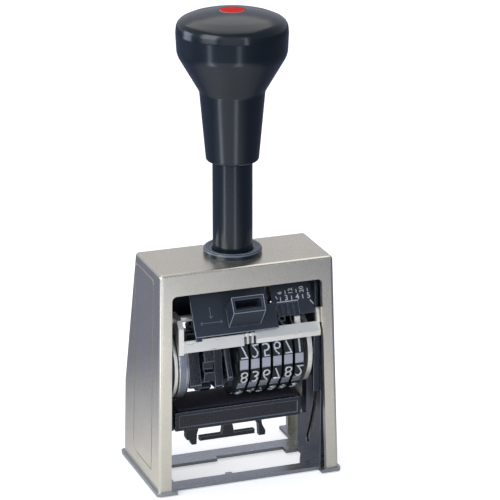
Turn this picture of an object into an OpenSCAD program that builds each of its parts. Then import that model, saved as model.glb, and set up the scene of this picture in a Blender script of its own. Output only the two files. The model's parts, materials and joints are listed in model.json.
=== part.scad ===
// Hand numbering machine with six number wheels, repeat cams and a swinging ink pad.
// Millimetres. X to the right, Y to the back, Z up.
// The origin lies on the plunger axis, in the plane of the paper that the machine stands on.

/* [Housing] */
// Height of the top face above the paper
housing_h = 77.3; // [76:0.1:84]
// Width of the top face
top_w = 61; // [60.8:0.1:66]
// Width at the foot
foot_w = 64.8; // [64.4:0.1:70]
// Top face, from the plunger axis to the front edge
top_front = 14.8; // [14.6:0.1:17]
// Top face, from the plunger axis to the back edge
top_back = 12.2; // [12:0.1:15]
// Foot, from the plunger axis to the front face
foot_front = 16.85; // [16.6:0.05:20]
// Foot, from the plunger axis to the back face
foot_back = 22.3; // [20:0.1:28]
// Height at which the back wall starts to lean forward
kink_h = 27.7; // [20:0.1:36]
// Wall thickness
wall = 2; // [1.6:0.1:2.2]
// Radius of the outer edges
edge_r = 1.2; // [0.6:0.1:1.8]
// Depth of the outline groove in each side
groove_depth = 0.35; // [0.2:0.05:0.6]
// Front line of the groove, from the plunger axis
groove_front = 8.3; // [7:0.1:9]
// Back line of the groove, from the plunger axis
groove_back = 11.7; // [10:0.1:12]
// Width of the outline groove in each side
groove_w = 0.6; // [0.4:0.1:1]

/* [Windows] */
// Width of the windows under the top
window_top_w = 52.8; // [51:0.2:54]
// Width of the windows at the foot
window_foot_w = 56; // [54:0.5:57]
// Height of the header over the front window
header_h = 7.6; // [6.3:0.1:9.3]
// Height of the header over the back window
back_header_h = 19.3; // [16:0.1:25]
// Radius of the windows' upper corners
window_r = 1.7; // [1:0.1:3]

/* [Base plate] */
// Thickness of the base plate
base_t = 1.2; // [0.8:0.1:1.5]
// Rim of the base plate outside the housing
rim = 0.8; // [0.4:0.1:2]
// Front edge of the front bar, from the plunger axis
front_bar_out = 14.4; // [13:0.1:15]
// Back edge of the front bar, from the plunger axis
front_bar_in = 9.3; // [8:0.1:10]
// Front edge of the back bar, from the plunger axis
back_bar_in = 6.2; // [6:0.1:8]
// Back edge of the back bar, from the plunger axis
back_bar_out = 12.1; // [11:0.1:15]
// Right end of the printing opening
opening_right = 22; // [21.4:0.1:23]
// Left end of the printing opening
opening_left = 24.6; // [24:0.1:25]

/* [Handle] */
// Height of the crown of the handle
handle_top = 161; // [158:0.5:170]
// Height of the lower end of the handle
handle_bottom = 110; // [109:0.5:114]
// Radius of the head of the handle
head_r = 18.65; // [16:0.1:20]
// Radius of the neck under the head
neck_r = 10.95; // [9.5:0.1:12]
// Radius of the handle's lower end
sleeve_r = 8.8; // [8.2:0.1:9.4]
// Radius of the marker dot
dot_r = 4.25; // [3.5:0.1:5]

/* [Guide barrel] */
// Outer radius of the barrel
barrel_r = 6.7; // [6.4:0.05:7]
// Height of the upper end of the barrel
barrel_top = 120; // [116:0.5:121]
// Outer radius of the collar
collar_r = 9.9; // [8.5:0.1:12]
// Thickness of the collar
collar_t = 2.5; // [1.5:0.1:3]
// Radius of the push rod
rod_r = 3; // [2.6:0.1:3.2]

/* [Return spring] */
// Radius of the spring wire
wire_r = 0.5; // [0.4:0.05:0.6]
// Number of turns
turns = 12; // [8:1:16]

/* [Carriage] */
// Depth of the wheel axle below the top face, at rest
axle_drop = 35.2; // [34.3:0.1:35.3]
// Radius of the wheel axle
axle_r = 2; // [1.6:0.1:2.2]
// Outer face of each cheek, from the middle
cheek_out = 26.6; // [26.5:0.05:26.8]
// Thickness of the cheeks
cheek_t = 1.2; // [1:0.1:1.2]
// Thickness of the bridge
bridge_t = 2; // [1.5:0.1:2.2]

/* [Number wheels] */
// Number of wheels
wheel_n = 6; // [6:1:6]
// Left face of the first wheel
wheel_x = -2.53; // [-2.6:0.01:-2.4]
// Distance from wheel to wheel
wheel_pitch = 3.96; // [3.9:0.01:3.98]
// Width of a wheel
wheel_w = 3.1; // [2.8:0.05:3.3]
// Radius of the printing face of the figures
type_r = 14.8; // [14.4:0.1:14.9]
// Height of the figures above their fields
type_relief = 0.25; // [0.15:0.05:0.4]

/* [Repeat cams] */
// Radius of the cams' points
cam_r = 13.2; // [12.8:0.1:14]
// Radius of the hollows between the points
cam_hollow_r = 9; // [8.2:0.1:10]

/* [Ink pad] */
// Half the depth of the pad, front to back
pad_half = 9; // [8:0.1:9.2]
// Depth of the pad holder's underside below the wheel axle
pad_drop = 23; // [22.1:0.1:23.5]
// Depth of the ink cartridge's top below the wheel axle
cartridge_drop = 16.3; // [16:0.1:16.6]
// Distance of the follower pins from the axle
follower_arm = 9; // [8.5:0.1:9.2]
// Radius of the follower pins
follower_r = 1.2; // [1:0.1:1.3]
// Swing of the pad over a full stroke
pad_swing = 90; // [90:1:90]

/* [Selector] */
// Thickness of the selector plate
plate_t = 1; // [0.8:0.1:1.1]
// Slope of the selector plate above level
slope = 60; // [58:1:62]
// Left edge of the selector plate
plate_left = -18.3; // [-18.5:0.1:-17.5]
// Right edge of the selector plate
plate_right = 8.4; // [7.8:0.1:9]
// Width of the foot to the right of the plate
plate_foot_w = 2.6; // [1.8:0.1:2.8]

/* [Fits] */
// Running clearance of shafts in their bores
run_gap = 0.05; // [0.03:0.01:0.09]
// Clearance between parts that are put together
seat_gap = 0.02; // [0.01:0.01:0.05]
// Clearance of the follower pins in their slots
slot_gap = 0.15; // [0.1:0.05:0.2]

/* [Hidden] */
$fn = 48;
eps = 0.01;
axle_h = housing_h - axle_drop;
travel = axle_h - type_r;
field_r = type_r - type_relief;

// Housing
under_top = housing_h - wall;
window_h = housing_h - header_h;
back_window_h = housing_h - back_header_h;
shank_r = 5;
nut_h = 2;
nut_r = 8;
nut_bottom = under_top - nut_h;
buffer_t = 0.9;
buffer_bottom = nut_bottom - buffer_t;
screw_r = 0.7;
screw_head_r = 1.3;
screw_l = 5;
screw_front = -11;
screw_back = 17;
screw_x = foot_w / 2 - wall / 2 - 0.05;

// Barrel, spring and handle
bore_r = barrel_r - 1.1;
spring_seat = housing_h + collar_t;
coil_r = (rod_r + bore_r) / 2 + 0.2;
handle_bore_r = barrel_r + 0.1;
handle_bore_top = handle_top - 12.5;
cap_t = 0.6;
rod_top = handle_bore_top + 3.5;
counterbore = rod_top + 4.4;
dot_seat = handle_top - 1.2;
dot_t = 1.05;
head_screw_r = 3.2;
head_screw_h = 2.2;
stud_r = 1.5;
stud_l = 7.5;

// Carriage
bridge_top = buffer_bottom - 0.1;
bridge_low = bridge_top - bridge_t;
bridge_half = 9;
flange_t = 1.2;
flange_w = 4;
cheek_in = cheek_out - cheek_t;
cheek_r = 12;
cheek_front = -11.2;
cheek_back = 9;
rail_gap = 0.8;
rail_in = cheek_out + rail_gap;
rail_t = 1;
rail_front = -12;
rail_back = 9.5;
rail_top = under_top - 0.8;
rail_foot_w = 1.7;
shoe_out = rail_in - 0.1;
clip_t = 0.55;
clip_r = 3.8;
rod_shank_r = 2.2;
rod_nut_h = 2.3;
rod_nut_r = 3.9;
bridge_screw_x = cheek_in - flange_w / 2;
bridge_screw_y = 5;
bridge_screw_r = 1.1;
bridge_screw_head_r = 1.9;
bridge_screw_head_h = 1.1;

// Places along the axle
arm_left = [-cheek_in + 0.2, -cheek_in + 1.4];
disc_span = [-23.8, -20.1];
cam_a_span = [-19.4, -15.1];
finger_span = [-14.3, -10.7];
cam_c_span = [-10.1, -7.1];
cam_d_span = [-6.2, -4.2];
fork_left = [-4.05, -3.15];
wheel_end = wheel_x + wheel_pitch * (wheel_n - 1) + wheel_w;
fork_right = [wheel_end + 0.35, wheel_end + 1.35];
arm_right = [fork_right[1] + 0.55, fork_right[1] + 2.15];
disc_r = 14.2;
arm_r = 13.3;
hub_r = 5;

// Ink pad
pad_low = axle_h - pad_drop;
pad_high = axle_h - cartridge_drop;
grip_low = pad_low - 6.8;
latch_low = pad_low - 7.8;

// Feed
fork_rest = 170;
pawl_rod_at = type_r + 2.4;
pawl_rod_r = 1;
pawl_w = 2.4;
pawl_nose_at = type_r + 0.35;
tie_in = pawl_rod_at + 1.9;
tie_t = 0.8;

// Selector
rod2_y = -7;
rod2_z = axle_h + 16.5;
rod2_r = 1.2;
saddle_span = [-16, -7.5];
saddle_low = rod2_z - 2;
saddle_high = rod2_z + 5.6;
pin_hole_z = rod2_z + rod2_r + 0.35;
plate_y = -15.2;
plate_z = axle_h + 12.3;
plate_high = bridge_low - 1.6;
foot_high = axle_h + 19.6;
press = 1.5;
pin_y = -6;
pin_r = 0.9;
pin_gap = 0.1;
pin_x = [saddle_span[0] + 1.9, saddle_span[1] - 1.9];
scale_drop = plate_t + 1.2;
scale_t = 0.8;
scale_left = 10.9;
comb_x = [12.3, 20.2];
comb_rib = 0.3;
block_back = -5.4;

// ---- Helpers ----

function unit(v) = v / norm(v);
// Points of the arc of radius r that rounds the corner b between a and c
function corner_arc(a, b, c, r, n) =
    let (u = unit(a - b), w = unit(c - b), half = acos(u * w) / 2,
         mid = b + unit(u + w) * r / sin(half),
         p = b + u * r / tan(half) - mid, q = b + w * r / tan(half) - mid,
         from = atan2(p[1], p[0]), turn = (atan2(q[1], q[0]) - from + 540) % 360 - 180)
    [for (i = [0:n]) mid + r * [cos(from + turn * i / n), sin(from + turn * i / n)]];
// Outline with each corner rounded by its own radius; 0 leaves it sharp
function rounded(pts, radii, n = 6) =
    let (m = len(pts))
    [for (i = [0:m - 1]) each radii[i] == 0 ? [pts[i]]
        : corner_arc(pts[(i + m - 1) % m], pts[i], pts[(i + 1) % m], radii[i], n)];

// Half width of the housing, and where its back face lies, at height z
function side_at(z) = foot_w / 2 - (z - base_t) / (housing_h - base_t) * (foot_w - top_w) / 2;
function back_at(z) = z < kink_h ? foot_back
    : foot_back - (z - kink_h) / (housing_h - kink_h) * (foot_back - top_back);

// A flat shape drawn in Y and Z, thickened along X
module along_x(span) {
    translate([span[0], 0, 0]) rotate([90, 0, 90]) linear_extrude(span[1] - span[0]) children();
}
// A flat shape drawn in X and Z, thickened along Y
module along_y(span) {
    translate([0, span[1], 0]) rotate([90, 0, 0]) linear_extrude(span[1] - span[0]) children();
}
module block(x, y, z) {
    translate([x[0], y[0], z[0]]) cube([x[1] - x[0], y[1] - y[0], z[1] - z[0]]);
}
module rod_x(span, r, y = 0, z = 0) {
    translate([span[0], y, z]) rotate([0, 90, 0]) cylinder(r = r, h = span[1] - span[0]);
}
module rod_z(span, r, x = 0, y = 0) {
    translate([x, y, span[0]]) cylinder(r = r, h = span[1] - span[0]);
}
// Turns a shape drawn in Y and Z about the axle; 0 is down and 90 is to the back
module about_axle(angle) {
    translate([0, axle_h]) rotate(angle) children();
}
// The point at radius r and the given angle from down, with the axle at the origin
function spoke(r, angle) = [r * sin(angle), -r * cos(angle)];
// Path of a follower pin after the carriage has moved down by s
function follower(s) =
    let (turn = pad_swing * s / travel)
    [-follower_arm * cos(turn), axle_h - s - follower_arm * sin(turn)];

// ---- Housing ----

module housing_shell() {
    inner_foot = foot_w / 2 - wall;
    inner_top = top_w / 2 - wall;
    color("#a7a49c") difference() {
        hull() {
            for (side = [-1, 1]) {
                for (y = [-top_front + edge_r, top_back - edge_r])
                    translate([side * (top_w / 2 - edge_r), y, housing_h - edge_r]) sphere(edge_r, $fn = 24);
                for (y = [-foot_front + edge_r, foot_back - edge_r])
                    translate([side * (foot_w / 2 - edge_r), y, base_t])
                        cylinder(r = edge_r, h = eps, $fn = 24);
                translate([side * (side_at(kink_h) - edge_r), foot_back - edge_r, kink_h])
                    sphere(edge_r, $fn = 24);
            }
        }
        intersection() {
            along_x([-foot_w, foot_w]) polygon([[-foot_front + wall, 0], [-top_front + wall, under_top],
                [back_at(under_top) - wall, under_top], [foot_back - wall, kink_h], [foot_back - wall, 0]]);
            along_y([-foot_w, foot_w]) polygon([[-inner_foot, 0], [-inner_top, under_top],
                [inner_top, under_top], [inner_foot, 0]]);
        }
        along_y([-foot_w, 0]) window_shape(window_h);
        along_y([0, foot_w]) window_shape(back_window_h);
        rod_z([under_top - 1, housing_h + 1], shank_r + 0.1);
        for (side = [-1, 1])
            side_groove(side);
        for (side = [-1, 1], y = [screw_front, screw_back])
            rod_z([0, base_t + screw_l], screw_r + seat_gap, side * screw_x, y);
    }
}

module window_shape(high) {
    polygon(rounded([[-window_foot_w / 2, 0], [-window_top_w / 2, high],
        [window_top_w / 2, high], [window_foot_w / 2, 0]], [0, window_r, window_r, 0]));
}

// Outline groove of a side panel, cut square to the leaning side
module side_groove(side) {
    lean = atan((foot_w - top_w) / 2 / (housing_h - base_t));
    low = 6;
    high = housing_h - 3.2;
    outer = [[-groove_front, low], [-groove_front, high], [groove_back, high], [groove_back, low]];
    radii = [1, 1.5, 1.5, 3];
    mirror([side < 0 ? 1 : 0, 0, 0]) translate([foot_w / 2, 0, base_t]) rotate([0, -lean, 0])
        translate([-groove_depth, 0, -base_t]) along_x([0, 2]) difference() {
            polygon(rounded(outer, radii));
            polygon(rounded([outer[0] + groove_w * [1, 1], outer[1] + groove_w * [1, -1],
                outer[2] + groove_w * [-1, -1], outer[3] + groove_w * [-1, 1]], radii));
        }
}

module base_plate() {
    x = foot_w / 2 + rim;
    lip = window_foot_w / 2 - 2;
    step_x = -4.2;
    step = 1.9;
    sight = 0.9;
    color("#8d95a3") {
        difference() {
            linear_extrude(base_t) difference() {
                polygon(rounded([[-x, -foot_front - rim], [x, -foot_front - rim], [x, foot_back + rim * 2],
                    [-x, foot_back + rim * 2]], [1.5, 1.5, 1.5, 1.5]));
                polygon([[-lip, -foot_front * 2], [-lip, -front_bar_out], [lip, -front_bar_out],
                    [lip, -foot_front * 2]]);
                polygon([[-opening_left, -front_bar_in], [-6.2, -front_bar_in],
                    [-5.8, -front_bar_in + 1.4 * sight], [-3.8, -front_bar_in + 1.4 * sight],
                    [-3.4, -front_bar_in], [opening_right - 0.6, -front_bar_in], [opening_right, -6.7],
                    [opening_right + 2.4, -1.2], [opening_right + 3.2, -0.6], [opening_right + 3.2, 2.7],
                    [opening_right - 1.4, 2.7], [opening_right - 1.4, back_bar_in], [step_x, back_bar_in],
                    [step_x, back_bar_in - step], [-opening_left, back_bar_in - step]]);
                polygon([[-lip, back_bar_out], [lip, back_bar_out], [lip, foot_back * 2],
                    [-lip, foot_back * 2]]);
            }
            for (side = [-1, 1], y = [screw_front, screw_back])
                translate([side * screw_x, y, 0]) rotate_extrude()
                    polygon([[0, -1], [screw_head_r + seat_gap, -1], [screw_head_r + seat_gap, 0],
                        [screw_r + seat_gap, base_t * 0.6], [screw_r + seat_gap, 2], [0, 2]]);
        }
    }
}

module base_screws() {
    color("#7c7f86") for (side = [-1, 1], y = [screw_front, screw_back])
        translate([side * screw_x, y, 0]) rotate_extrude()
            polygon([[0, 0.1], [screw_head_r - 0.1, 0.1], [screw_r, base_t * 0.6],
                [screw_r, base_t + screw_l - 0.2], [0, base_t + screw_l - 0.2]]);
}

// ---- Barrel, handle and spring ----

module guide_barrel() {
    color("#15171a") rotate_extrude($fn = 96)
        polygon([[rod_r + run_gap, nut_bottom], [shank_r, nut_bottom], [shank_r, housing_h],
            [barrel_r, housing_h], [barrel_r, barrel_top - 0.5], [barrel_r - 0.5, barrel_top],
            [bore_r, barrel_top], [bore_r, spring_seat], [rod_r + run_gap, spring_seat]]);
}

module collar_ring() {
    top = housing_h + collar_t;
    color("#17191c") rotate_extrude($fn = 96)
        polygon([[barrel_r + seat_gap, housing_h], [collar_r, housing_h], [collar_r, top - 0.6],
            [collar_r - 0.5, top], [collar_r - 1.5, top], [collar_r - 1.9, top - 0.5],
            [barrel_r + 0.6, top - 0.5], [barrel_r + seat_gap, top - 1]]);
}

module barrel_nut() {
    color("#6f7278") difference() {
        rod_z([nut_bottom, under_top], nut_r, $fn = 6);
        rod_z([nut_bottom - 1, housing_h], shank_r + seat_gap);
    }
}

module buffer_ring() {
    color("#202124") rotate_extrude()
        translate([rod_r + 0.4, buffer_bottom]) square([3.6, buffer_t]);
}

module handle() {
    crown_r = 14.3;
    crown_drop = 2.2;
    rim_z = handle_top - 7.5;
    cone_top = handle_top - 14.8;
    cone_foot = handle_top - 27.3;
    crown = [for (i = [0:6]) let (r = dot_r + 0.05 + (crown_r - dot_r) * i / 6)
        [r, handle_top - crown_drop * pow(r / crown_r, 2)]];
    side = rounded([[crown_r, handle_top - crown_drop], [head_r - 0.4, handle_top - 3.9], [head_r, rim_z],
        [head_r - 0.35, cone_top], [neck_r, cone_foot], [sleeve_r, handle_bottom],
        [handle_bore_r, handle_bottom]], [0, 3.4, 3, 7, 3, 0.9, 0]);
    color("#15171a") rotate_extrude($fn = 120)
        polygon(concat(side, [[handle_bore_r, handle_bore_top], [rod_r + seat_gap, handle_bore_top],
            [rod_r + seat_gap, rod_top], [stud_r + 0.1, rod_top], [stud_r + 0.1, counterbore],
            [head_screw_r + 0.2, counterbore], [head_screw_r + 0.2, dot_seat], [dot_r + 0.05, dot_seat]],
            crown));
}

module marker_dot() {
    color("#c8301f") rotate_extrude()
        polygon([[0, dot_seat], [dot_r, dot_seat], [dot_r, dot_seat + dot_t - 0.2],
            [dot_r - 0.3, dot_seat + dot_t], [0, dot_seat + dot_t + 0.1]]);
}

module handle_screw() {
    color("#8a8d92") difference() {
        union() {
            rod_z([counterbore, counterbore + head_screw_h], head_screw_r);
            rod_z([rod_top - stud_l + 0.3, counterbore + eps], stud_r);
        }
        block([-head_screw_r * 2, head_screw_r * 2], [-0.4, 0.4], [counterbore + 1.2, handle_top]);
    }
}

module push_rod() {
    color("#9a9da2") difference() {
        union() {
            rod_z([bridge_top, rod_top], rod_r);
            rod_z([bridge_low - rod_nut_h - 0.8, bridge_top + eps], rod_shank_r);
        }
        rod_z([rod_top - stud_l, rod_top + 1], stud_r + seat_gap);
    }
}

// Centre line of the coil: a helix whose two ends run straight on
function coil_points() =
    let (low = spring_seat + wire_r + 0.05, high = handle_bore_top - cap_t - wire_r - 0.05,
         rise = (high - low) / turns, steps = 8 * turns, end = 2 * wire_r,
         core = [for (i = [0:steps]) let (a = 360 * i / 8)
            [coil_r * cos(a), coil_r * sin(a), low + rise * i / 8]])
    concat([core[0] + [0, -end, 0]], core, [core[steps] + [0, end, 0]]);

module return_spring() {
    pts = coil_points();
    last = len(pts) - 1;
    sides = 6;
    rings = [for (i = [0:last])
        let (t = unit(pts[min(i + 1, last)] - pts[max(i - 1, 0)]), n = unit(cross(t, [0, 0, 1])),
             b = cross(n, t))
        for (k = [0:sides - 1]) pts[i] + wire_r * (cos(360 * k / sides) * n + sin(360 * k / sides) * b)];
    walls = [for (i = [0:last - 1], k = [0:sides - 1])
        let (a = i * sides + k, b = i * sides + (k + 1) % sides)
        each [[a, b + sides, b], [a, a + sides, b + sides]]];
    start_cap = [for (k = [1:sides - 2]) [0, k, k + 1]];
    end_cap = [for (k = [1:sides - 2]) [last * sides, last * sides + k + 1, last * sides + k]];
    color("#b9bcc2") polyhedron(rings, concat(walls, start_cap, end_cap));
}

module spring_cap() {
    color("#9a9da2") rotate_extrude()
        translate([rod_r + run_gap, handle_bore_top - cap_t])
            square([bore_r - rod_r - run_gap - 0.2, cap_t]);
}

module rod_nut() {
    color("#8a8d92") difference() {
        rod_z([bridge_low - rod_nut_h, bridge_low], rod_nut_r, $fn = 6);
        rod_z([0, housing_h], rod_shank_r + seat_gap);
    }
}

// ---- Guide rails ----

// Outline of a slot of the given half width along a path, with round ends
function slot_outline(path, half) =
    let (last = len(path) - 1,
         ahead = [for (i = [0:last]) unit(path[min(i + 1, last)] - path[max(i - 1, 0)])],
         across = [for (d = ahead) [-d[1], d[0]]])
    concat([for (i = [0:last]) path[i] + half * across[i]],
        [for (a = [20:20:160]) path[last] + half * (cos(a) * across[last] + sin(a) * ahead[last])],
        [for (i = [last:-1:0]) path[i] - half * across[i]],
        [for (a = [20:20:160]) path[0] - half * (cos(a) * across[0] + sin(a) * ahead[0])]);

module guide_rail(side) {
    steps = 14;
    path = [for (i = [0:steps]) follower(travel * i / steps)];
    foot = rail_in + rail_t + rail_foot_w;
    color("#34383f") mirror([side < 0 ? 1 : 0, 0, 0]) difference() {
        union() {
            block([rail_in, rail_in + rail_t], [rail_front, rail_back], [base_t, rail_top]);
            block([rail_in + rail_t / 2, foot], [rail_front + 2, rail_back - 1], [base_t, base_t + 1]);
        }
        along_x([rail_in - 1, foot]) polygon(slot_outline(path, follower_r + slot_gap));
    }
}

module guide_rail_left() { guide_rail(-1); }
module guide_rail_right() { guide_rail(1); }

// ---- Carriage ----

// Top plate of the carriage, bent down at the back beside the wheels
module carriage_bridge() {
    color("#2a2c31") difference() {
        union() {
            block([-cheek_out, cheek_out], [-bridge_half, bridge_half], [bridge_low, bridge_top]);
            block([-cheek_in + 0.05, fork_left[0] - 0.95], [bridge_half - 0.9, bridge_half - 0.1],
                [axle_h + 12.4, bridge_low + eps]);
        }
        rod_z([bridge_low - 1, bridge_top + 1], rod_shank_r + seat_gap);
        for (x = [-bridge_screw_x, bridge_screw_x], y = [-bridge_screw_y, bridge_screw_y])
            rod_z([bridge_low - 1, bridge_top + 1], bridge_screw_r + seat_gap, x, y);
    }
}

module bridge_screws() {
    color("#8a8d92") for (x = [-bridge_screw_x, bridge_screw_x], y = [-bridge_screw_y, bridge_screw_y]) {
        rod_z([bridge_low - flange_t, bridge_top + eps], bridge_screw_r, x, y);
        rod_z([bridge_top, bridge_top + bridge_screw_head_h], bridge_screw_head_r, x, y);
    }
}

// Side plate of the carriage: round about the axle, straight up to the bridge
module cheek(side) {
    slot_half = follower_r + slot_gap + 0.1;
    color("#1b1d21") mirror([side < 0 ? 1 : 0, 0, 0]) difference() {
        union() {
            along_x([cheek_in, cheek_out]) difference() {
                union() {
                    translate([0, axle_h]) circle(cheek_r, $fn = 96);
                    polygon([[cheek_front, axle_h], [cheek_front, bridge_low - 4.5],
                        [-bridge_half, bridge_low], [cheek_back, bridge_low], [cheek_back, axle_h]]);
                }
                translate([0, axle_h])
                    polygon(slot_outline([for (a = [-90:6:0]) spoke(follower_arm, a)], slot_half));
            }
            block([cheek_in - flange_w, cheek_in + eps], [-8, 8], [bridge_low - flange_t, bridge_low]);
        }
        rod_x([0, cheek_out + 1], axle_r + seat_gap, 0, axle_h);
        rod_x([0, cheek_out + 1], rod2_r + seat_gap, rod2_y, rod2_z);
        for (y = [-bridge_screw_y, bridge_screw_y])
            rod_z([bridge_low - 2, bridge_low + 1], bridge_screw_r + seat_gap, bridge_screw_x, y);
    }
}

module cheek_left() { cheek(-1); }
module cheek_right() { cheek(1); }

// Sliding blocks that keep the carriage between the rails
module guide_shoes() {
    front_y = [cheek_front - 1.35, cheek_front - 0.05];
    back_y = [cheek_back + 0.05, cheek_back + 1.2];
    back_z = [axle_h + 9, bridge_low - 2];
    color("#3d4656") {
        difference() {
            block([cheek_in - 0.8, shoe_out], front_y, [base_t + travel + 0.1, axle_h + 6.6]);
            rod_x([cheek_in - 1, cheek_out + seat_gap], cheek_r + seat_gap, 0, axle_h);
        }
        block([-shoe_out, -cheek_in - 0.2], [cheek_front - 1, cheek_front - 0.05], [rod2_z, bridge_low - 5]);
        block([cheek_in, shoe_out], back_y, back_z);
        block([-shoe_out, -cheek_in], back_y, back_z);
    }
}

module wheel_axle() {
    color("#b9bcc2") rod_x([-shoe_out, shoe_out], axle_r, 0, axle_h);
}

module axle_clips() {
    color("#8a8d92") for (side = [0, 1])
        mirror([side, 0, 0]) difference() {
            rod_x([cheek_out + 0.02, cheek_out + 0.02 + clip_t], clip_r, 0, axle_h);
            rod_x([cheek_out - 1, shoe_out + 1], axle_r + seat_gap, 0, axle_h);
        }
}

// Bright bar across the front of the carriage
module front_crossbar() {
    sheet = 0.7;
    low = axle_h + 6.9;
    left_face = [[-14.1, low], [-13.45, low + 4]];
    right_face = [[-14.1, low + 0.3], [-14.3, low + 2], [-12.65, low + 5]];
    ear = [-24, -22.2];
    tongue = [cheek_in + 0.1, shoe_out - 0.2];
    color("#d2d0ca") difference() {
        union() {
            along_x([ear[0] + eps, -0.9]) polygon([left_face[0], left_face[1],
                left_face[1] + [sheet, -0.1], left_face[0] + [sheet, 0]]);
            along_x([3.3, cheek_out - 0.2]) polygon([right_face[0], right_face[1], right_face[2],
                right_face[2] + [0.6, -0.4], right_face[1] + [sheet, -0.25], right_face[0] + [sheet, 0]]);
            along_x([-1.2, 3.6]) polygon([[-13.6, low + 3], [-13.2, low + 3.9], [-12.4, low + 3.9],
                [-12.6, low + 3]]);
            for (x = [0, 1.7])
                along_x([x, x + 0.7]) polygon([[-14.1, low + 0.5], [-13.8, low + 4.4], [-13, low + 4.4],
                    [-13.4, low + 0.5]]);
            along_x(ear) polygon(rounded([[-14.1, low - 0.6], [-14.1, low + 8.6], [-12.2, low + 11.2],
                [-4.9, low + 12], [-4.9, low + 7.5], [-8.3, low + 7.2], [-11, low + 5.3], [-12.6, low + 1.6],
                [-13.3, low - 0.6]], [0, 0.8, 0.8, 0.6, 0.6, 0, 0, 0, 0], 3));
            along_x([18, 20]) polygon([[-12.9, low + 4.3], [-11.5, low + 5.6], [-11.5, low + 6.7],
                [-11.2, low + 7.1], [-10.9, low + 7.1], [-10.7, low + 6.7], [-10.7, low + 5.2],
                [-12.3, low + 4]]);
            along_x(tongue) polygon([[-12.95, low + 4.6], [-12.3, low + 9], [-11.9, low + 9.5],
                [cheek_front - 0.05, low + 9.5], [cheek_front - 0.05, low + 4.6]]);
        }
        rod_x([-30, 0], rod2_r + seat_gap, rod2_y, rod2_z);
    }
}

module selector_rod() {
    color("#b9bcc2") rod_x([-cheek_out, cheek_out], rod2_r, rod2_y, rod2_z);
}

// Frame on the selector plate's front face: X right, Y up the slope, Z out of the face
module on_slope() {
    translate([0, plate_y, plate_z]) rotate([slope, 0, 0]) children();
}
// Distance up the slope of the height z
function up_slope(z) = (z - plate_z) / sin(slope);
// Point v up the slope and w out of the plate's front face, in Y and Z
function slope_at(v, w) = [plate_y + v * cos(slope) - w * sin(slope),
    plate_z + v * sin(slope) + w * cos(slope)];

// Number scale above, comb below, and the block that carries both on the right cheek
module scale_plate() {
    right = cheek_in - 0.05;
    face = -scale_drop;
    sheet = [face - scale_t, face];
    comb_v = [4, 8.6];
    comb_pitch = (comb_x[1] - comb_x[0]) / 4;
    color("#16181b") difference() {
        union() {
            on_slope() {
                block([scale_left, right], [comb_v[1] - eps, up_slope(plate_high - 0.4)], sheet);
                block([comb_x[0], right], comb_v, sheet);
            }
            along_x([comb_x[1], right]) polygon([slope_at(comb_v[0], face), slope_at(comb_v[1], face),
                [block_back, slope_at(comb_v[1], face)[1]], [block_back, slope_at(comb_v[0], face)[1]]]);
        }
        on_slope() for (i = [0:3])
            block([comb_x[0] + i * comb_pitch + comb_rib, comb_x[0] + (i + 1) * comb_pitch - comb_rib / 2],
                [comb_v[0] - 1, comb_v[1] - comb_rib], [sheet[0] + 0.3, sheet[1] + 1]);
        rod_x([comb_x[1] - 1, cheek_out], rod2_r + seat_gap, rod2_y, rod2_z);
    }
}

// Spring fingers that hold each wheel in place
module detent_comb() {
    y = [-3.8, -3.2];
    low = axle_h + type_r + 0.3;
    color("#8f939b") {
        difference() {
            block([wheel_x - 0.4, wheel_end + 0.4], y, [low + 5, bridge_low]);
            rod_z([bridge_low - rod_nut_h - 0.3, bridge_low + 1], rod_nut_r + 0.2);
        }
        for (i = [0:wheel_n - 1])
            block([wheel_x + wheel_pitch * i + 0.4, wheel_x + wheel_pitch * i + wheel_w - 0.4], y,
                [low, low + 5 + eps]);
    }
}

// ---- Ink pad ----

module pad_arm(span) {
    color("#a9abb0") difference() {
        along_x(span) union() {
            translate([0, axle_h]) circle(arm_r, $fn = 96);
            polygon([[-pad_half + 1.2, pad_low], [-pad_half + 1.2, axle_h - 8], [pad_half - 0.4, axle_h - 8],
                [pad_half - 0.4, pad_low]]);
        }
        rod_x([span[0] - 1, span[1] + 1], axle_r + run_gap, 0, axle_h);
    }
}

module pad_arm_left() { pad_arm(arm_left); }
module pad_arm_right() { pad_arm(arm_right); }

module pad_tray() {
    x = [arm_left[1], arm_right[0]];
    color("#2b2d31") {
        block(x, [-5, pad_half], [pad_low, pad_low + 1]);
        block(x, [pad_half - 0.8, pad_half], [pad_low + eps, pad_high - 1]);
    }
}

module ink_cartridge() {
    left = arm_left[1] + 0.2;
    right = arm_right[0] - 0.9;
    back = pad_half - 1;
    color("#141518") difference() {
        union() {
            along_y([-pad_half, back]) polygon(rounded([[left, pad_low + 1.1], [left, pad_high],
                [right, pad_high], [right, pad_low + 1.1]], [0, 0.3, 0.8, 0], 3));
            along_y([-pad_half, -5.2]) polygon(rounded([[left, pad_low], [left, pad_low + 3],
                [right, pad_low + 3], [right, pad_low]], [0.3, 0, 0, 0.8], 3));
        }
        along_y([-pad_half - 1, -pad_half + 0.3]) polygon([[left + 1.5, pad_low + 1.2],
            [left + 1.5, pad_high - 1.3], [right - 1.2, pad_high - 1.3], [right - 1.2, pad_low + 1.2]]);
        block([left + 1.3, right - 1.1], [-pad_half + 1.2, back - 1.2], [pad_high - 1.2, pad_high + 1]);
    }
}

module ink_felt() {
    left = arm_left[1] + 1.6;
    right = arm_right[0] - 2.1;
    color("#1d1c24") block([left, right], [-pad_half + 1.3, pad_half - 2.3],
        [pad_high - 1.2, axle_h - type_r - 0.35]);
}

module pull_grip() {
    color("#17181b") along_y([-4.2, -2.2]) polygon([[-13.5, grip_low], [-13.5, grip_low + 1.7],
        [-5.6, grip_low + 1.7], [-5.2, grip_low + 4.2], [-4.4, pad_low], [-2.2, pad_low],
        [-1.5, grip_low + 4.2], [-1, grip_low + 1.7], [6.5, grip_low + 1.7], [6.5, grip_low]]);
}

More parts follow.
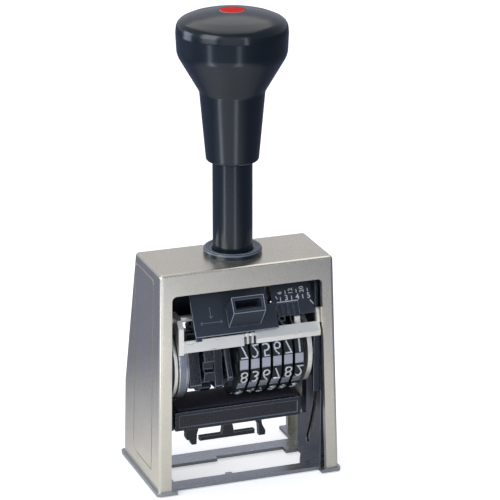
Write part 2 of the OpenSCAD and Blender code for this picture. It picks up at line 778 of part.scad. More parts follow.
module pad_latches() {
    color("#17181b") along_y([-4.2, -2.2]) {
        polygon([[-18.6, grip_low + 1.9], [-18, grip_low + 0.9], [-17.2, grip_low + 0.9], [-16.4, latch_low],
            [-14.6, latch_low], [-14.4, latch_low + 3.8], [-13.2, pad_low], [-18, pad_low],
            [-18.6, grip_low + 3.9]]);
        polygon([[5.2, pad_low], [7.6, latch_low + 4.2], [7.9, latch_low], [10.3, latch_low],
            [10.4, latch_low + 1.6], [9.2, latch_low + 4], [8.6, pad_low]]);
    }
}

// Pins that follow the curved slots of the rails
module follower_pins() {
    y = -follower_arm;
    color("#c3c5c9") {
        rod_x([-rail_in - rail_t + 0.2, arm_left[0]], follower_r, y, axle_h);
        rod_x([arm_right[1], rail_in + rail_t - 0.2], follower_r, y, axle_h);
    }
}

// ---- Number wheels ----

// Ten figure fields stand out of the rim, with flat lands between them
module number_wheel(i) {
    land_r = field_r - 0.5;
    half_field = 10.4;
    x = wheel_x + wheel_pitch * i;
    rim_pts = [for (k = [0:9], a = [-17.4, -half_field - 0.4, -half_field, -half_field / 2, 0,
            half_field / 2, half_field, half_field + 0.4, 17.4])
        spoke(abs(a) <= half_field ? field_r : land_r, 36 * k + a)];
    teeth = [for (k = [0:9]) each [spoke(12.4, 36 * k), spoke(12.4, 36 * k + 14), spoke(10.6, 36 * k + 22)]];
    color("#55595f") difference() {
        union() {
            along_x([x, x + wheel_w]) translate([0, axle_h]) polygon(rim_pts);
            along_x([x - 0.4, x + eps]) translate([0, axle_h]) polygon(teeth);
        }
        rod_x([x - 1, x + wheel_w + 1], axle_r + run_gap, 0, axle_h);
    }
}

module number_wheel_1() { number_wheel(0); }
module number_wheel_2() { number_wheel(1); }
module number_wheel_3() { number_wheel(2); }
module number_wheel_4() { number_wheel(3); }
module number_wheel_5() { number_wheel(4); }
module number_wheel_6() { number_wheel(5); }

// ---- Repeat cams ----

module cam_hub() {
    color("#3a3d42") difference() {
        rod_x([disc_span[0], cam_d_span[1]], hub_r, 0, axle_h);
        rod_x([disc_span[0] - 1, 0], axle_r + run_gap, 0, axle_h);
    }
}

module hub_bore(span) {
    rod_x([span[0] - 1, span[1] + 1], hub_r + seat_gap, 0, axle_h);
}

module drive_disc() {
    color("#c4c2bb") difference() {
        union() {
            rod_x([disc_span[0], disc_span[1]], disc_r - 0.6, 0, axle_h, $fn = 96);
            rod_x([disc_span[0], disc_span[1] - 1], disc_r, 0, axle_h, $fn = 96);
        }
        hub_bore(disc_span);
    }
}

// Cam with blunt points a quarter turn apart
module point_cam(span, phase) {
    outline = [for (k = [0:3]) each [spoke(cam_r, phase + 90 * k - 3), spoke(cam_r, phase + 90 * k + 3),
        spoke(cam_hollow_r, phase + 90 * k + 45)]];
    color("#17181b") difference() {
        along_x(span) translate([0, axle_h]) polygon(outline);
        hub_bore(span);
    }
}

module repeat_cam_a() { point_cam(cam_a_span, -59); }
module repeat_cam_c() { point_cam(cam_c_span, -51); }
module repeat_cam_d() { point_cam(cam_d_span, -67); }

module finger_plate() {
    color("#2d3436") difference() {
        along_x(finger_span) translate([0, axle_h]) polygon([for (k = [0:9])
            each [spoke(cam_r - 1, 36 * k - 9), spoke(cam_r - 1, 36 * k + 9), spoke(cam_r - 3, 36 * k + 11),
                spoke(cam_r - 3, 36 * k + 25)]]);
        hub_bore(finger_span);
    }
}

// ---- Feed ----

module feed_fork() {
    color("#7d8188") {
        for (span = [fork_left, fork_right])
            difference() {
                along_x(span) about_axle(fork_rest) {
                    circle(4.5);
                    polygon([[-2.4, 0], [-1.8, -tie_in - 0.4], [1.8, -tie_in - 0.4], [2.4, 0]]);
                }
                rod_x([span[0] - 1, span[1] + 1], axle_r + run_gap, 0, axle_h);
                along_x([span[0] - 1, span[1] + 1]) about_axle(fork_rest)
                    translate([0, -pawl_rod_at]) circle(pawl_rod_r + seat_gap);
            }
        along_x([fork_left[0], fork_right[1]]) about_axle(fork_rest)
            polygon([[-1.8, -tie_in], [-1.8, -tie_in - tie_t], [1.8, -tie_in - tie_t], [1.8, -tie_in]]);
    }
}

module pawl_rod() {
    color("#b9bcc2") along_x([fork_left[0], fork_right[1]]) about_axle(fork_rest)
        translate([0, -pawl_rod_at]) circle(pawl_rod_r);
}

module feed_pawls() {
    color("#9a9da2") for (i = [0:wheel_n - 1])
        let (x = wheel_x + wheel_pitch * i + (wheel_w - pawl_w) / 2)
            along_x([x, x + pawl_w]) about_axle(fork_rest) difference() {
                union() {
                    translate([0, -pawl_rod_at]) circle(1.7);
                    polygon([[-1.4, -pawl_rod_at], [1.5, -pawl_rod_at], [-0.6, -pawl_nose_at],
                        [-1.4, -pawl_nose_at]]);
                }
                translate([0, -pawl_rod_at]) circle(pawl_rod_r + seat_gap);
            }
}

// ---- Selector ----

module selector_saddle() {
    color("#2a2c31") difference() {
        block(saddle_span, [-9.2, -4.8], [saddle_low, saddle_high]);
        rod_x([saddle_span[0] - 1, saddle_span[1] + 1], rod2_r + run_gap, rod2_y, rod2_z);
        for (x = pin_x)
            rod_z([pin_hole_z, saddle_high + 1], pin_r + run_gap, x, pin_y);
        on_slope() block([saddle_span[0] - 1, saddle_span[1] + 1], [-2, up_slope(plate_high)],
            [-scale_drop + 0.1, 10]);
    }
}

// Sloping plate with a hollow finger tab; its pins press down into the saddle
module selector_plate() {
    tab = [-6.35, 4.8];
    tab_wall = 0.9;
    tab_w = 7.6;
    plate = [-plate_t, 0];
    color("#1a1c1f") {
        on_slope() {
            block([plate_left, plate_right], [0, up_slope(plate_high)], plate);
            block([plate_right - eps, plate_right + plate_foot_w], [0, up_slope(foot_high)], plate);
            block([plate_left, plate_left + 2], [-1.3, eps], plate);
            difference() {
                along_x(tab) polygon([[2.1, -eps], [5.35, tab_w], [10.7, tab_w], [8.8, -eps]]);
                along_x([tab[0] + tab_wall, tab[1] - tab_wall]) polygon([[6.75, tab_w + 1], [10, tab_w + 1],
                    [8.05, 0.8], [6.6, 0.8], [7.2, 4.5], [5, 4.5]]);
            }
        }
        intersection() {
            for (x = pin_x)
                rod_z([pin_hole_z + press + pin_gap, plate_high], pin_r, x, pin_y);
            along_x([-30, 30]) polygon([slope_at(-5, -plate_t / 2), slope_at(30, -plate_t / 2), [40, 80],
                [40, 50]]);
        }
    }
}

housing_shell();
base_plate();
base_screws();
guide_barrel();
collar_ring();
barrel_nut();
buffer_ring();
guide_rail_left();
guide_rail_right();
handle();
marker_dot();
handle_screw();
push_rod();
return_spring();
spring_cap();
rod_nut();
carriage_bridge();
bridge_screws();
cheek_left();
cheek_right();
guide_shoes();
wheel_axle();
axle_clips();
front_crossbar();
selector_rod();
scale_plate();
detent_comb();
pad_arm_left();
pad_arm_right();
pad_tray();
ink_cartridge();
ink_felt();
pull_grip();
pad_latches();
follower_pins();
number_wheel_1();
number_wheel_2();
number_wheel_3();
number_wheel_4();
number_wheel_5();
number_wheel_6();
cam_hub();
drive_disc();
repeat_cam_a();
finger_plate();
repeat_cam_c();
repeat_cam_d();
feed_fork();
pawl_rod();
feed_pawls();
selector_saddle();
selector_plate();
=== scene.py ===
import json
import math

import bpy
from bpy.props import FloatProperty, FloatVectorProperty, IntProperty, PointerProperty
from mathutils import Matrix, Vector

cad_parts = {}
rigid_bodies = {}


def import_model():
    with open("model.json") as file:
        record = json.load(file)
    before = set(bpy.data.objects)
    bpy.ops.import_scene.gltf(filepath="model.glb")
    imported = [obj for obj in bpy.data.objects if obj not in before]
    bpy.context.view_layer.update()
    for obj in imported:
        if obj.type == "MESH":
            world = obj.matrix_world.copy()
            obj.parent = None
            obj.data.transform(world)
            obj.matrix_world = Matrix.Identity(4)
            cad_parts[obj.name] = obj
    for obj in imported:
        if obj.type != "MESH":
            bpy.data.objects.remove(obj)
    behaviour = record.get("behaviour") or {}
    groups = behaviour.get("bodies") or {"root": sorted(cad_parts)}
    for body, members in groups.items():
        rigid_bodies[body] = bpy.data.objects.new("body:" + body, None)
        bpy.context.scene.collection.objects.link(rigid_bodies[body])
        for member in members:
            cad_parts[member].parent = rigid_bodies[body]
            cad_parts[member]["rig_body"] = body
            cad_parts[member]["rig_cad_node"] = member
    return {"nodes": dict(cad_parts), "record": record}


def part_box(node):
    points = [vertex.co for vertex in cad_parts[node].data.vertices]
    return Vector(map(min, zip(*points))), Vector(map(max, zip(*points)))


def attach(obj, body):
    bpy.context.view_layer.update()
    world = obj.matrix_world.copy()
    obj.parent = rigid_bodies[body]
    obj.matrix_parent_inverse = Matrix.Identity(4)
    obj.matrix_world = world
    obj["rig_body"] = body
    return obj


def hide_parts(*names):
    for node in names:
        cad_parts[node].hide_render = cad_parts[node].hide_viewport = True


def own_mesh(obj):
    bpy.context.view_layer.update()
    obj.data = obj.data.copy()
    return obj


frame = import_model()

bl_info = {
    "name": "Numbering Machine",
    "version": (1, 0, 0),
    "blender": (4, 5, 0),
    "location": "3D View > Sidebar > Numbering Machine",
    "description": "Builds a hand numbering machine over its construction model",
    "category": "Add Mesh",
}

MM = 0.001
BODY_OF = {
    node: body
    for body, nodes in frame["record"]["behaviour"]["bodies"].items()
    for node in nodes
}
AXLE_HEIGHT = 42.1
TYPE_RADIUS = 14.8
WHEEL_LEFT = -2.53
WHEEL_PITCH = 3.96
WHEEL_WIDTH = 3.1
# Figure at the lower front row of each wheel, and that row's angle from straight down
FRONT_FIGURES = (8, 3, 6, 7, 8, 2)
FRONT_ROW = -72
FIELD_STEP = 36
# Half of a field's angle, and the radius outside which the lands between the fields lie
FIELD_HALF = 10.7
LAND_RADIUS = 13.9
# Front face of the selector plate: a point on its lower edge, and its slope above level
PLATE_Y = -15.2
PLATE_Z = 54.4
PLATE_SLOPE = math.radians(60)
# Its ends, and where the painted highlight line on its left edge starts and stops up the slope
PLATE_LEFT = -18.3
PLATE_RIGHT = 11
PLATE_LOW = 0.1
PLATE_HIGH = 12
# Finger tab: its ends, its foot and the two edges of its rim up the slope, and how far it stands out
TAB_LEFT = -6.35
TAB_RIGHT = 4.8
TAB_FOOT = 2.1
TAB_NEAR = 5.35
TAB_FAR = 10.7
TAB_HEIGHT = 7.6
# Face of the number scale, counted out of the selector plate's face
SCALE_DEPTH = -2.2
# In degrees: faces that meet at less than FLAT_ANGLE become one, edges sharper than BROKEN_ANGLE are
# bevelled, and what then meets at less than SMOOTH_ANGLE is smoothed
FLAT_ANGLE = 0.3
BROKEN_ANGLE = 30
SMOOTH_ANGLE = 48
# Points nearer to one another than this, in mm, are merged: in a construction copy and in a shaped piece
COPY_MERGE = 0.001
SHAPE_MERGE = 0.002
# Size in mm of the clouds that mottle a finish
CLOUD_SIZE = 9
# The photograph's viewpoint: azimuth and elevation in degrees, the point looked at, distance and lens in mm
VIEW_AZIMUTH = -20.1
VIEW_ELEVATION = 19
VIEW_AIM = (5.57, -1.73, 78.1)
VIEW_DISTANCE = 880.9
VIEW_LENS = 189.1
# Height in mm that the softboxes point at
LAMP_AIM = 70
# Light strips on the table: middle's distance from the machine, width and length in metres
STRIP_DISTANCE = 0.39
STRIP_WIDTH = 0.05
STRIP_LENGTH = 0.46
# Pool of light painted on the floor for the metal to mirror: its middle, and the distances in metres
# between which it falls off
POOL_MIDDLE = (-0.09, -0.145, 0)
POOL_START = 0.13
POOL_END = 0.26
# Share of the white floor in what the metal mirrors
WHITE_SHARE = 0.05


def srgb(code):
    """Linear colour of an sRGB hex code."""
    values = [int(code[i : i + 2], 16) / 255 for i in (1, 3, 5)]
    return tuple(
        v / 12.92 if v <= 0.04045 else ((v + 0.055) / 1.055) ** 2.4 for v in values
    )


def colour(name, code, words):
    """A colour of the panel, given as a hex code."""
    return FloatVectorProperty(
        name=name, description=words, subtype="COLOR", size=3, min=0, max=1, default=srgb(code)
    )


def length(name, millimetres, words):
    """A length of the panel, given in millimetres."""
    return FloatProperty(
        name=name, description=words, unit="LENGTH", subtype="DISTANCE", default=millimetres * MM,
        min=0, precision=5,
    )


class MachineSizes(bpy.types.PropertyGroup):
    # The shell's bevelled edges get a painted highlight in bright steel colour
    shell_edge: length("Shell edge", 0.3, "Width of the bright edges round the housing's windows")
    part_edge: length("Part edge", 0.16, "Width of the broken edges of the small parts")
    head_radius: length("Head radius", 18.6, "Largest radius of the handle's head")
    neck_radius: length("Neck radius", 10.95, "Radius of the handle's neck")
    sleeve_radius: length("Sleeve radius", 8.8, "Radius at the handle's lower end")
    dot_radius: length("Dot radius", 4.25, "Radius of the marker dot in the crown")
    spring_wire: length("Spring wire", 0.5, "Radius of the return spring's wire")
    spring_turns: IntProperty(
        name="Spring turns", description="Number of turns of the return spring", default=12, min=4, max=20
    )
    figure_height: length("Figure height", 4.5, "Height of the figures on the wheels")
    figure_width: length("Figure width", 2.55, "Width of the figures on the wheels")
    figure_relief: length("Figure relief", 0.3, "Height of the figures above their fields")
    scale_figure: length("Scale figure", 1.9, "Height of the figures on the number scale")
    mark_width: length("Mark width", 0.3, "Width of the scale's ticks")
    # Width of the painted highlight lines on the finger tab and the plate
    edge_line: length("Edge line", 0.2, "Width of the rubbed lines on the finger tab")
    arrow_width: length("Arrow width", 0.2, "Width of the arrows' lines")


class MachineColours(bpy.types.PropertyGroup):
    nickel: colour("Nickel", "#E3DDCB", "Satin nickel of the housing")
    plate: colour("Base steel", "#A9ADB1", "Brushed steel of the base plate")
    moulding: colour("Black moulding", "#121B21", "Polished black of the handle and barrel")
    dot: colour("Marker red", "#DC1A10", "Red of the marker dot")
    dot_ring: colour("Marker ring", "#A8847E", "Pale ring round the marker dot")
    plastic: colour("Black plastic", "#2D333D", "Semi-matt black of the mechanism's plastic parts")
    cam: colour("Cam black", "#191D23", "Black of the repeat cams")
    blued: colour("Blued steel", "#373D48", "Blackened sheet of the carriage")
    rail: colour("Rail steel", "#64686D", "Grey sheet of the guide rails")
    # Bright steel is also the painted highlight on the bevelled edges of the housing, base plate and drive
    # disc
    bright: colour("Bright steel", "#F8F4E8", "Bright steel of the bar, disc and rods")
    # Plain steel is also the painted highlight on the bevelled edges of the blued and rail steel parts
    plain: colour("Plain steel", "#8C9098", "Plain steel of forks, springs and nuts")
    land: colour("Wheel metal", "#BDBFC5", "Lands between the wheels' fields")
    field: colour("Wheel field", "#1D2526", "Dark fields behind the figures")
    figure: colour("Figure silver", "#E6E8E6", "Bright faces of the figures")
    mark: colour("Mark grey", "#E2E5E6", "Ticks and figures of the scale")
    arrow: colour("Arrow grey", "#6E7780", "Arrows on the selector plate")
    # Painted highlight colour for the bevelled edges of the black plastic parts
    worn: colour("Painted highlight on plastic edge", "#99A1A9", "Rubbed edges of the black plastic parts")
    # Painted highlight colour for the bevelled edges of the cams, ink cartridge and collar
    cam_edge_highlight: colour("Painted highlight on cam edge", "#666E77", "Rubbed edges of the cams, ink cartridge and collar")
    felt: colour("Inked felt", "#2B2933", "Felt soaked with black ink")
    rubber: colour("Rubber", "#17181A", "Buffer ring")
    floor: colour("Floor", "#F4F3F1", "Pale floor under the machine")
    # Painted shade: the floor's colour farther out, where the painted pool of light has fallen off
    floor_painted_shade: colour("Painted floor shade", "#4C5372", "Floor farther out, as the metal mirrors it")


def sizes():
    """Lengths set in the panel."""
    return bpy.context.scene.machine_sizes


def colours():
    """Colours set in the panel."""
    return bpy.context.scene.machine_colours


# ---- Finishes ----


def finish(
    name, tint, metallic=0.0, roughness=0.4, spread=0.08, grain=0.4, stretch=(1, 1, 1), bump=0.0,
    shine=0.5, mottle=0.0,
):
    """A material whose roughness, relief and tint vary with a grain of the given size in mm."""
    if name in bpy.data.materials:
        return bpy.data.materials[name]
    material = bpy.data.materials.new(name)
    material.use_nodes = True
    nodes = material.node_tree.nodes
    links = material.node_tree.links
    shader = nodes["Principled BSDF"]
    shader.inputs["Base Color"].default_value = (*tint, 1)
    shader.inputs["Metallic"].default_value = metallic
    shader.inputs["Roughness"].default_value = roughness
    shader.inputs["Specular IOR Level"].default_value = shine
    place = nodes.new("ShaderNodeTexCoord")
    mapping = nodes.new("ShaderNodeMapping")
    mapping.inputs["Scale"].default_value = stretch
    links.new(place.outputs["Object"], mapping.inputs["Vector"])
    noise = nodes.new("ShaderNodeTexNoise")
    noise.inputs["Scale"].default_value = 1 / (grain * MM)
    noise.inputs["Detail"].default_value = 3
    links.new(mapping.outputs["Vector"], noise.inputs["Vector"])
    rough = nodes.new("ShaderNodeMapRange")
    rough.inputs["From Min"].default_value = 0.3
    rough.inputs["From Max"].default_value = 0.7
    rough.inputs["To Min"].default_value = max(roughness - spread, 0.02)
    rough.inputs["To Max"].default_value = roughness + spread
    links.new(noise.outputs["Fac"], rough.inputs["Value"])
    links.new(rough.outputs["Result"], shader.inputs["Roughness"])
    if mottle:
        cloud = nodes.new("ShaderNodeTexNoise")
        cloud.inputs["Scale"].default_value = 1 / (CLOUD_SIZE * MM)
        cloud.inputs["Detail"].default_value = 2
        links.new(place.outputs["Object"], cloud.inputs["Vector"])
        mix = nodes.new("ShaderNodeMix")
        mix.data_type = "RGBA"
        mix.inputs["A"].default_value = (*[v * (1 - mottle) for v in tint], 1)
        mix.inputs["B"].default_value = (*[min(v * (1 + mottle), 1) for v in tint], 1)
        links.new(cloud.outputs["Fac"], mix.inputs["Factor"])
        links.new(mix.outputs["Result"], shader.inputs["Base Color"])
    if bump:
        relief = nodes.new("ShaderNodeBump")
        relief.inputs["Strength"].default_value = 0.35
        relief.inputs["Distance"].default_value = bump * MM
        links.new(noise.outputs["Fac"], relief.inputs["Height"])
        links.new(relief.outputs["Normal"], shader.inputs["Normal"])
    return material


def satin_nickel():
    """Satin nickel plate on a pressed and blasted shell."""
    return finish("Satin nickel", colours().nickel, 1.0, 0.29, 0.03, 0.25, bump=0.003, mottle=0.06)


def base_steel():
    """Steel sheet brushed from side to side."""
    return finish("Brushed steel", colours().plate, 1.0, 0.3, 0.1, 0.3, (0.06, 1, 1), bump=0.006)


def black_moulding():
    """Polished black plastic moulding."""
    return finish("Polished black", colours().moulding, 0.0, 0.2, 0.02, 1.5)


def black_plastic():
    """Semi-matt black plastic with a fine spark-eroded grain."""
    return finish("Black plastic", colours().plastic, 0.0, 0.36, 0.06, 0.25, bump=0.008)


def cam_black():
    """Black plastic of the cams, polished by use."""
    return finish("Cam black", colours().cam, 0.0, 0.28, 0.08, 1.2, mottle=0.1)


def blued_steel():
    """Blackened sheet steel with a faint blue cast."""
    return finish("Blued steel", colours().blued, 0.85, 0.36, 0.07, 0.4, (1, 1, 0.15), mottle=0.08)


def rail_steel():
    """Grey sheet steel of the guide rails, rubbed by the carriage's shoes."""
    return finish("Rail steel", colours().rail, 0.85, 0.34, 0.07, 0.4, (1, 1, 0.15), mottle=0.1)


def bright_steel():
    """Bright drawn steel."""
    return finish("Bright steel", colours().bright, 0.7, 0.34, 0.07, 0.3, (0.05, 1, 1), mottle=0.04)


def plain_steel():
    """Plain steel, barrel polished."""
    return finish("Plain steel", colours().plain, 1.0, 0.33, 0.08, 0.5, mottle=0.06)


def wheel_metal():
    """Nickel-silver lands of the number wheels."""
    return finish("Wheel metal", colours().land, 0.9, 0.42, 0.06, 0.3, bump=0.005, mottle=0.06)


def wheel_field():
    """Darkened floor of the number fields."""
    return finish("Wheel field", colours().field, 0.3, 0.45, 0.08, 0.3, bump=0.01)


def figure_silver():
    """Worn bright faces of the raised figures."""
    return finish("Figure silver", colours().figure, 0.75, 0.3, 0.08, 0.3, mottle=0.08)


def mark_paint():
    """Grey paint wiped into the raised marks."""
    return finish("Mark paint", colours().mark, 0.0, 0.5, 0.05, 0.3, mottle=0.08)


def inked_felt():
    """Wool felt soaked with ink, with a short nap."""
    return finish("Inked felt", colours().felt, 0.0, 0.8, 0.1, 0.35, bump=0.08, mottle=0.25)


def black_rubber():
    """Matt black rubber."""
    return finish("Black rubber", colours().rubber, 0.0, 0.65, 0.08, 0.5, bump=0.01)


def plastic_edge_highlight():
    """Painted highlight on the bevelled edges of the black plastic parts."""
    # The worn colour here is a painted highlight on the bevelled edges
    return finish("Painted highlight on plastic", colours().worn, 0.0, 0.3, 0.08, 0.4, mottle=0.2)


def black_edge_highlight():
    """Painted highlight on the bevelled edges of the cams, the ink cartridge and the collar."""
    # Painted highlight colour on the bevelled edges
    return finish("Painted highlight on black edge", colours().cam_edge_highlight, 0.0, 0.3, 0.08, 0.4, mottle=0.2)


def blued_edge_highlight():
    """Painted highlight in plain steel colour on the bevelled edges of the blued and rail steel parts."""
    # Plain steel colour painted on the bevelled edges as a highlight
    return finish("Painted highlight on blued edge", colours().plain, 0.9, 0.3, 0.08, 0.4, mottle=0.2)


def metal_edge_highlight():
    """Painted highlight in bright steel colour, with low roughness, on the edges of the housing, the base
    plate and the drive disc.
    """
    # Bright steel colour painted on the bevelled edges as a highlight
    return finish("Painted highlight on metal edge", colours().bright, 1.0, 0.2, 0.05, 0.4)


def arrow_paint():
    """Thin grey line left in the arrows."""
    return finish("Arrow paint", colours().arrow, 0.0, 0.5, 0.05, 0.3, mottle=0.15)


def marker_enamel():
    """Red enamel disc with a pale worn margin, told apart by the distance from the centre."""
    material = finish("Marker enamel", colours().dot, 0.0, 0.5, 0.05, 0.6, shine=0.05)
    nodes = material.node_tree.nodes
    links = material.node_tree.links
    place = nodes.new("ShaderNodeTexCoord")
    flat = nodes.new("ShaderNodeMapping")
    flat.inputs["Scale"].default_value = (1, 1, 0)
    links.new(place.outputs["Object"], flat.inputs["Vector"])
    reach = nodes.new("ShaderNodeVectorMath")
    reach.operation = "LENGTH"
    links.new(flat.outputs["Vector"], reach.inputs[0])
    margin = nodes.new("ShaderNodeMapRange")
    margin.inputs["From Min"].default_value = sizes().dot_radius - 0.35 * MM
    margin.inputs["From Max"].default_value = sizes().dot_radius - 0.2 * MM
    links.new(reach.outputs["Value"], margin.inputs["Value"])
    mix = nodes.new("ShaderNodeMix")
    mix.data_type = "RGBA"
    mix.inputs["A"].default_value = (*colours().dot, 1)
    mix.inputs["B"].default_value = (*colours().dot_ring, 1)
    links.new(margin.outputs["Result"], mix.inputs["Factor"])
    links.new(mix.outputs["Result"], nodes["Principled BSDF"].inputs["Base Color"])
    return material


def pale_floor():
    """White paper floor, white to the camera; to other rays it shows a pool of light painted round the
    machine and painted grey shade farther out.
    """
    material = bpy.data.materials.new("Pale floor")
    material.use_nodes = True
    nodes = material.node_tree.nodes
    links = material.node_tree.links
    paper = nodes["Principled BSDF"]
    paper.inputs["Base Color"].default_value = (*colours().floor, 1)
    paper.inputs["Roughness"].default_value = 0.8
    paper.inputs["Emission Color"].default_value = (1, 1, 1, 1)
    paper.inputs["Emission Strength"].default_value = 0.5
    pool = nodes.new("ShaderNodeBsdfPrincipled")
    pool.inputs["Roughness"].default_value = 0.8
    place = nodes.new("ShaderNodeTexCoord")
    reach = nodes.new("ShaderNodeVectorMath")
    reach.operation = "DISTANCE"
    reach.inputs[1].default_value = POOL_MIDDLE
    links.new(place.outputs["Object"], reach.inputs[0])
    fall = nodes.new("ShaderNodeMapRange")
    fall.inputs["From Min"].default_value = POOL_START
    fall.inputs["From Max"].default_value = POOL_END
    links.new(reach.outputs["Value"], fall.inputs["Value"])
    # Painted pool of light: the floor colour near the machine, painted shade farther out
    mix = nodes.new("ShaderNodeMix")
    mix.data_type = "RGBA"
    mix.inputs["A"].default_value = (*colours().floor, 1)
    mix.inputs["B"].default_value = (*colours().floor_painted_shade, 1)
    links.new(fall.outputs["Result"], mix.inputs["Factor"])
    links.new(mix.outputs["Result"], pool.inputs["Base Color"])
    path = nodes.new("ShaderNodeLightPath")
    glossy = nodes.new("ShaderNodeMath")
    glossy.operation = "MULTIPLY_ADD"
    glossy.inputs[1].default_value = WHITE_SHARE
    links.new(path.outputs["Is Glossy Ray"], glossy.inputs[0])
    links.new(path.outputs["Is Camera Ray"], glossy.inputs[2])
    show = nodes.new("ShaderNodeMixShader")
    links.new(glossy.outputs["Value"], show.inputs["Fac"])
    links.new(pool.outputs["BSDF"], show.inputs[1])
    links.new(paper.outputs["BSDF"], show.inputs[2])
    links.new(show.outputs["Shader"], nodes["Material Output"].inputs["Surface"])
    return material


# ---- Shaping ----


def start_clean():
    """Back in object mode with nothing selected."""
    if bpy.context.object and bpy.context.object.mode != "OBJECT":
        bpy.ops.object.mode_set(mode="OBJECT")
    bpy.ops.object.select_all(action="DESELECT")


def pick(*pieces):
    """Selects the pieces and makes the first one active."""
    start_clean()
    for piece in pieces:
        piece.select_set(True)
    bpy.context.view_layer.objects.active = pieces[0]


def settle(piece):
    """Moves the piece's place, turn and scale into its mesh."""
    pick(piece)
    bpy.ops.object.transform_apply(location=True, rotation=True, scale=True)


def join(pieces, name):
    """Makes one named piece of several."""
    pick(*pieces)
    if len(pieces) > 1:
        bpy.ops.object.join()
    piece = bpy.context.object
    piece.name = name
    return piece


def outward(piece):
    """Merges doubles and turns every face outwards."""
    pick(piece)
    bpy.ops.object.mode_set(mode="EDIT")
    bpy.ops.mesh.select_all(action="SELECT")
    bpy.ops.mesh.remove_doubles(threshold=SHAPE_MERGE * MM)
    bpy.ops.mesh.normals_make_consistent(inside=False)
    bpy.ops.object.mode_set(mode="OBJECT")


def break_edges(piece, width):
    """Bevels the sharp edges in the piece's last finish, smooths the rest and keeps flats flat."""
    pick(piece)
    if width:
        bpy.ops.object.modifier_add(type="BEVEL")
        bevel = piece.modifiers[-1]
        bevel.width = width
        bevel.segments = 2
        bevel.limit_method = "ANGLE"
        bevel.angle_limit = math.radians(BROKEN_ANGLE)
        # The bevels take the piece's last finish, which is the painted edge highlight where one is given
        bevel.material = len(piece.data.materials) - 1
        bpy.ops.object.modifier_apply(modifier=bevel.name)
    bpy.ops.object.shade_smooth_by_angle(angle=math.radians(SMOOTH_ANGLE))
    bpy.ops.object.modifier_add(type="WEIGHTED_NORMAL")
    weigh = piece.modifiers[-1]
    weigh.keep_sharp = True
    bpy.ops.object.modifier_apply(modifier=weigh.name)


def copy_of(node, name):
    """A merged copy of a construction node, free of its body."""
    pick(frame["nodes"][node])
    bpy.ops.object.duplicate()
    piece = bpy.context.object
    bpy.ops.object.parent_clear(type="CLEAR_KEEP_TRANSFORM")
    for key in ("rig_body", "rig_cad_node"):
        if key in piece:
            del piece[key]
    piece.name = name
    piece.data.name = name
    piece.data.materials.clear()
    bpy.ops.object.mode_set(mode="EDIT")
    bpy.ops.mesh.select_all(action="SELECT")
    bpy.ops.mesh.remove_doubles(threshold=COPY_MERGE * MM)
    bpy.ops.mesh.dissolve_limited(angle_limit=math.radians(FLAT_ANGLE))
    bpy.ops.object.mode_set(mode="OBJECT")
    return piece


def dress(node, name, material, width=None, worn=None):
    """Stands in for a construction node: the same shape with broken edges, which carry the painted edge
    highlight given as worn.
    """
    piece = copy_of(node, name)
    piece.data.materials.append(material)
    if worn:
        piece.data.materials.append(worn)
    break_edges(piece, sizes().part_edge if width is None else width)
    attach(piece, BODY_OF[node])
    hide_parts(node)
    return piece


def shift(piece, low, high, up):
    """Moves the points inside a box upwards, all in mm."""
    for point in piece.data.vertices:
        if all(low[i] < point.co[i] / MM < high[i] for i in range(3)):
            point.co.z += up * MM


def rounded(points, radii, steps=8):
    """Outline with each corner rounded by its own radius; 0 leaves it sharp."""
    outline = []
    last = len(points) - 1
    for i, (point, radius) in enumerate(zip(points, radii)):
        corner = Vector(point)
        if radius == 0 or i in (0, last):
            outline.append(corner)
            continue
        back = (Vector(points[i - 1]) - corner).normalized()
        ahead = (Vector(points[i + 1]) - corner).normalized()
        half = back.angle(ahead) / 2
        reach = radius / math.tan(half)
        middle = corner + (back + ahead).normalized() * radius / math.sin(half)
        first = corner + back * reach - middle
        final = corner + ahead * reach - middle
        turn = first.angle_signed(final)
        for k in range(steps + 1):
            arm = first.copy()
            arm.rotate(Matrix.Rotation(-turn * k / steps, 2))
            outline.append(middle + arm)
    return outline


def turned(name, profile, sides=96):
    """Round piece about the plunger axis: a ring at each (radius, height), drawn one from the last."""
    start_clean()
    radius, height = profile[0]
    bpy.ops.mesh.primitive_circle_add(vertices=sides, radius=radius, location=(0, 0, height))
    piece = bpy.context.object
    piece.name = name
    settle(piece)
    bpy.ops.object.mode_set(mode="EDIT")
    bpy.ops.mesh.select_mode(type="EDGE")
    bpy.ops.mesh.select_all(action="SELECT")
    for wide, high in profile[1:]:
        bpy.ops.mesh.extrude_edges_move(TRANSFORM_OT_translate={"value": (0, 0, high - height)})
        bpy.ops.transform.resize(value=(wide / radius, wide / radius, 1), center_override=(0, 0, high))
        radius, height = wide, high
    bpy.ops.mesh.select_mode(type="VERT")
    bpy.ops.object.mode_set(mode="OBJECT")
    return piece


def closed_turned(name, profile):
    """A turned piece whose profile comes back to its start."""
    piece = turned(name, [*profile, profile[0]])
    outward(piece)
    return piece


def on_plate(x, up, out):
    """Point at x, up the selector plate's slope and out of its face, in metres."""
    cos, sin = math.cos(PLATE_SLOPE), math.sin(PLATE_SLOPE)
    return MM * Vector((x, PLATE_Y + up * cos - out * sin, PLATE_Z + up * sin + out * cos))


def plate_frame(x, up, out, turn=0):
    """Frame on the slope: X along it, Y up it, Z out of it, turned in its plane."""
    tilt = Matrix.Rotation(PLATE_SLOPE, 4, "X")
    return Matrix.Translation(on_plate(x, up, out)) @ tilt @ Matrix.Rotation(math.radians(turn), 4, "Z")


